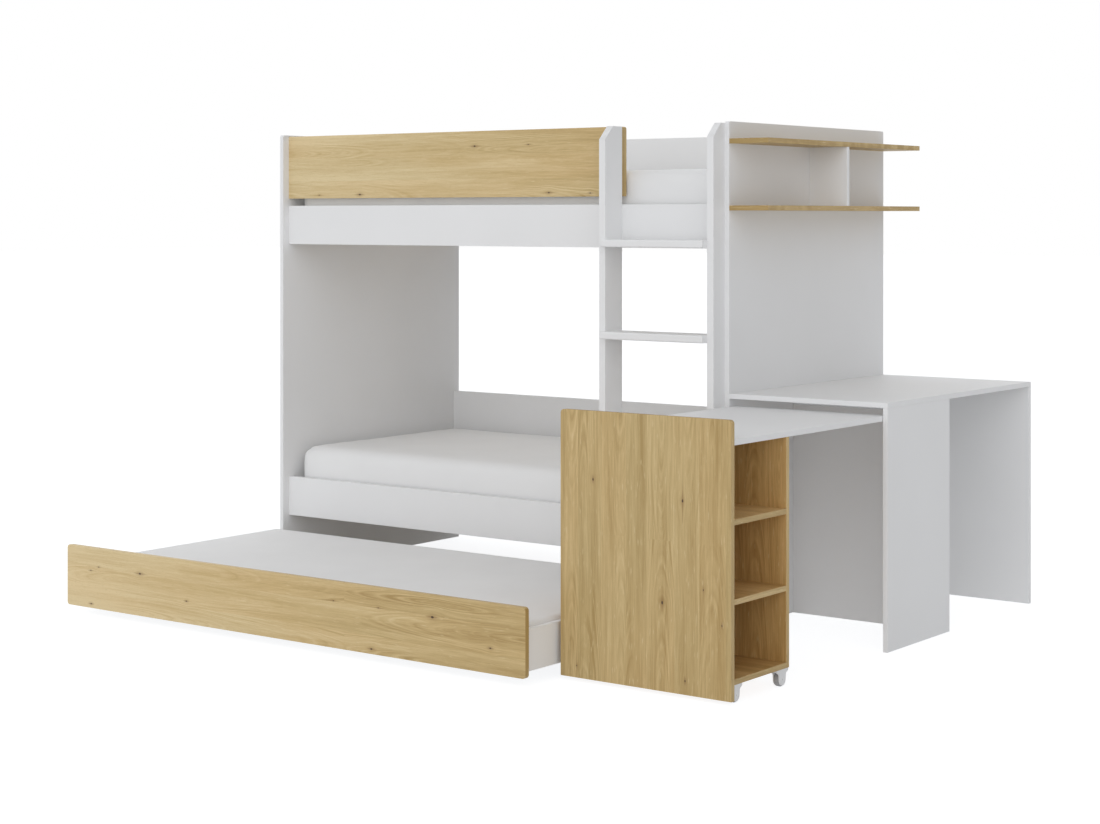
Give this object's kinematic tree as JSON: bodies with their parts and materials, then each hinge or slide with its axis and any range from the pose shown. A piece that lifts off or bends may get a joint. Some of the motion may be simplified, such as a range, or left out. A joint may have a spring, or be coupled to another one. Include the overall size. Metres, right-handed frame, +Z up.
{
  "type": "bunk bed with trundle",
  "caption": "Bunk bed with a pull-out trundle bed, a ladder, wall shelves and two desks at one end, one of which slides out on castors.",
  "frame": {"origin": "on the floor, below the centre of the overall bounding box with the trundle and the sliding desk pulled out", "axes": "+X along the bed towards the desks, +Y from the ladder side to the back, +Z up"},
  "size_m": [2.545, 2.077, 1.628],
  "materials": {
    "white_laminate": "satin white laminate on chipboard",
    "oak_laminate": "satin light oak laminate on chipboard",
    "slat_wood": "plain sanded softwood",
    "dowel_wood": "fluted beech",
    "mattress_fabric": "plain white knitted cover",
    "castor_white": "moulded",
    "castor_grey": "moulded",
    "pin_steel": "plain"
  },
  "bodies": {
    "bed_frame": {"fixed_desk_back_panel": "white_laminate", "fixed_desk_leg": "white_laminate", "fixed_desk_partition": "white_laminate", "fixed_desk_top": "white_laminate", "ladder_left_post": "white_laminate", "ladder_right_post": "white_laminate", "ladder_rung_1": "white_laminate", "ladder_rung_2": "white_laminate", "ladder_rung_3": "white_laminate", "ladder_rung_4": "white_laminate", "left_end_panel": "white_laminate", "lower_back_board": "white_laminate", "lower_front_rail": "white_laminate", "lower_mattress": "mattress_fabric", "lower_slat_battens": "slat_wood", "lower_slats": "slat_wood", "lower_wall_shelf": "oak_laminate", "rail_dowels": "dowel_wood", "right_end_panel": "white_laminate", "upper_back_board": "white_laminate", "upper_front_rail": "white_laminate", "upper_guard_board": "oak_laminate", "upper_mattress": "mattress_fabric", "upper_slat_battens": "slat_wood", "upper_slats": "slat_wood", "upper_wall_shelf": "oak_laminate", "wall_shelf_divider": "white_laminate"},
    "trundle": {"trundle_back_board": "white_laminate", "trundle_base": "white_laminate", "trundle_castor_housings": "castor_white", "trundle_castor_pins": "pin_steel", "trundle_front": "oak_laminate", "trundle_left_side": "white_laminate", "trundle_mattress": "mattress_fabric", "trundle_right_side": "white_laminate"},
    "sliding_desk": {"sliding_desk_back_board": "oak_laminate", "sliding_desk_bottom_board": "oak_laminate", "sliding_desk_castor_housings": "castor_white", "sliding_desk_castor_pins": "pin_steel", "sliding_desk_front": "oak_laminate", "sliding_desk_shelf_1": "oak_laminate", "sliding_desk_shelf_2": "oak_laminate", "sliding_desk_side_board": "oak_laminate", "sliding_desk_top": "white_laminate"},
    "trundle_castor_wheel_front_left": {"trundle_castor_wheel_front_left": "castor_grey"},
    "trundle_castor_wheel_front_right": {"trundle_castor_wheel_front_right": "castor_grey"},
    "trundle_castor_wheel_rear_left": {"trundle_castor_wheel_rear_left": "castor_grey"},
    "trundle_castor_wheel_rear_right": {"trundle_castor_wheel_rear_right": "castor_grey"},
    "sliding_desk_castor_wheel_front_left": {"sliding_desk_castor_wheel_front_left": "castor_grey"},
    "sliding_desk_castor_wheel_front_right": {"sliding_desk_castor_wheel_front_right": "castor_grey"},
    "sliding_desk_castor_wheel_rear_left": {"sliding_desk_castor_wheel_rear_left": "castor_grey"},
    "sliding_desk_castor_wheel_rear_right": {"sliding_desk_castor_wheel_rear_right": "castor_grey"}
  },
  "joints": [
    {"name": "trundle_slide", "type": "slide", "parent": "bed_frame", "child": "trundle", "axis": [0, 1, 0], "range_m": [0, 1.052]},
    {"name": "sliding_desk_slide", "type": "slide", "parent": "bed_frame", "child": "sliding_desk", "axis": [0, 1, 0], "range_m": [0, 0.867]},
    {"name": "trundle_wheel_front_left_spin", "type": "hinge", "parent": "trundle", "child": "trundle_castor_wheel_front_left", "pos_m": [-0.9425, -0.7825, 0.02], "axis": [-1, 0, 0], "continuous": true},
    {"name": "trundle_wheel_front_right_spin", "type": "hinge", "parent": "trundle", "child": "trundle_castor_wheel_front_right", "pos_m": [0.3775, -0.7825, 0.02], "axis": [-1, 0, 0], "continuous": true},
    {"name": "trundle_wheel_rear_left_spin", "type": "hinge", "parent": "trundle", "child": "trundle_castor_wheel_rear_left", "pos_m": [-0.9425, -0.2895, 0.02], "axis": [-1, 0, 0], "continuous": true},
    {"name": "trundle_wheel_rear_right_spin", "type": "hinge", "parent": "trundle", "child": "trundle_castor_wheel_rear_right", "pos_m": [0.3775, -0.2895, 0.02], "axis": [-1, 0, 0], "continuous": true},
    {"name": "sliding_desk_wheel_front_left_spin", "type": "hinge", "parent": "sliding_desk", "child": "sliding_desk_castor_wheel_front_left", "pos_m": [0.7215, -0.8355, 0.02], "axis": [-1, 0, 0], "continuous": true},
    {"name": "sliding_desk_wheel_front_right_spin", "type": "hinge", "parent": "sliding_desk", "child": "sliding_desk_castor_wheel_front_right", "pos_m": [1.2425, -0.8355, 0.02], "axis": [-1, 0, 0], "continuous": true},
    {"name": "sliding_desk_wheel_rear_left_spin", "type": "hinge", "parent": "sliding_desk", "child": "sliding_desk_castor_wheel_rear_left", "pos_m": [0.7215, -0.5895, 0.02], "axis": [-1, 0, 0], "continuous": true},
    {"name": "sliding_desk_wheel_rear_right_spin", "type": "hinge", "parent": "sliding_desk", "child": "sliding_desk_castor_wheel_rear_right", "pos_m": [1.2425, -0.5895, 0.02], "axis": [-1, 0, 0], "continuous": true}
  ],
  "couplings": [
    {"joint": "trundle_wheel_front_left_spin", "follows": "trundle_slide", "rad_per_m": 50},
    {"joint": "trundle_wheel_front_right_spin", "follows": "trundle_slide", "rad_per_m": 50},
    {"joint": "trundle_wheel_rear_left_spin", "follows": "trundle_slide", "rad_per_m": 50},
    {"joint": "trundle_wheel_rear_right_spin", "follows": "trundle_slide", "rad_per_m": 50},
    {"joint": "sliding_desk_wheel_front_left_spin", "follows": "sliding_desk_slide", "rad_per_m": 50},
    {"joint": "sliding_desk_wheel_front_right_spin", "follows": "sliding_desk_slide", "rad_per_m": 50},
    {"joint": "sliding_desk_wheel_rear_left_spin", "follows": "sliding_desk_slide", "rad_per_m": 50},
    {"joint": "sliding_desk_wheel_rear_right_spin", "follows": "sliding_desk_slide", "rad_per_m": 50}
  ]
}
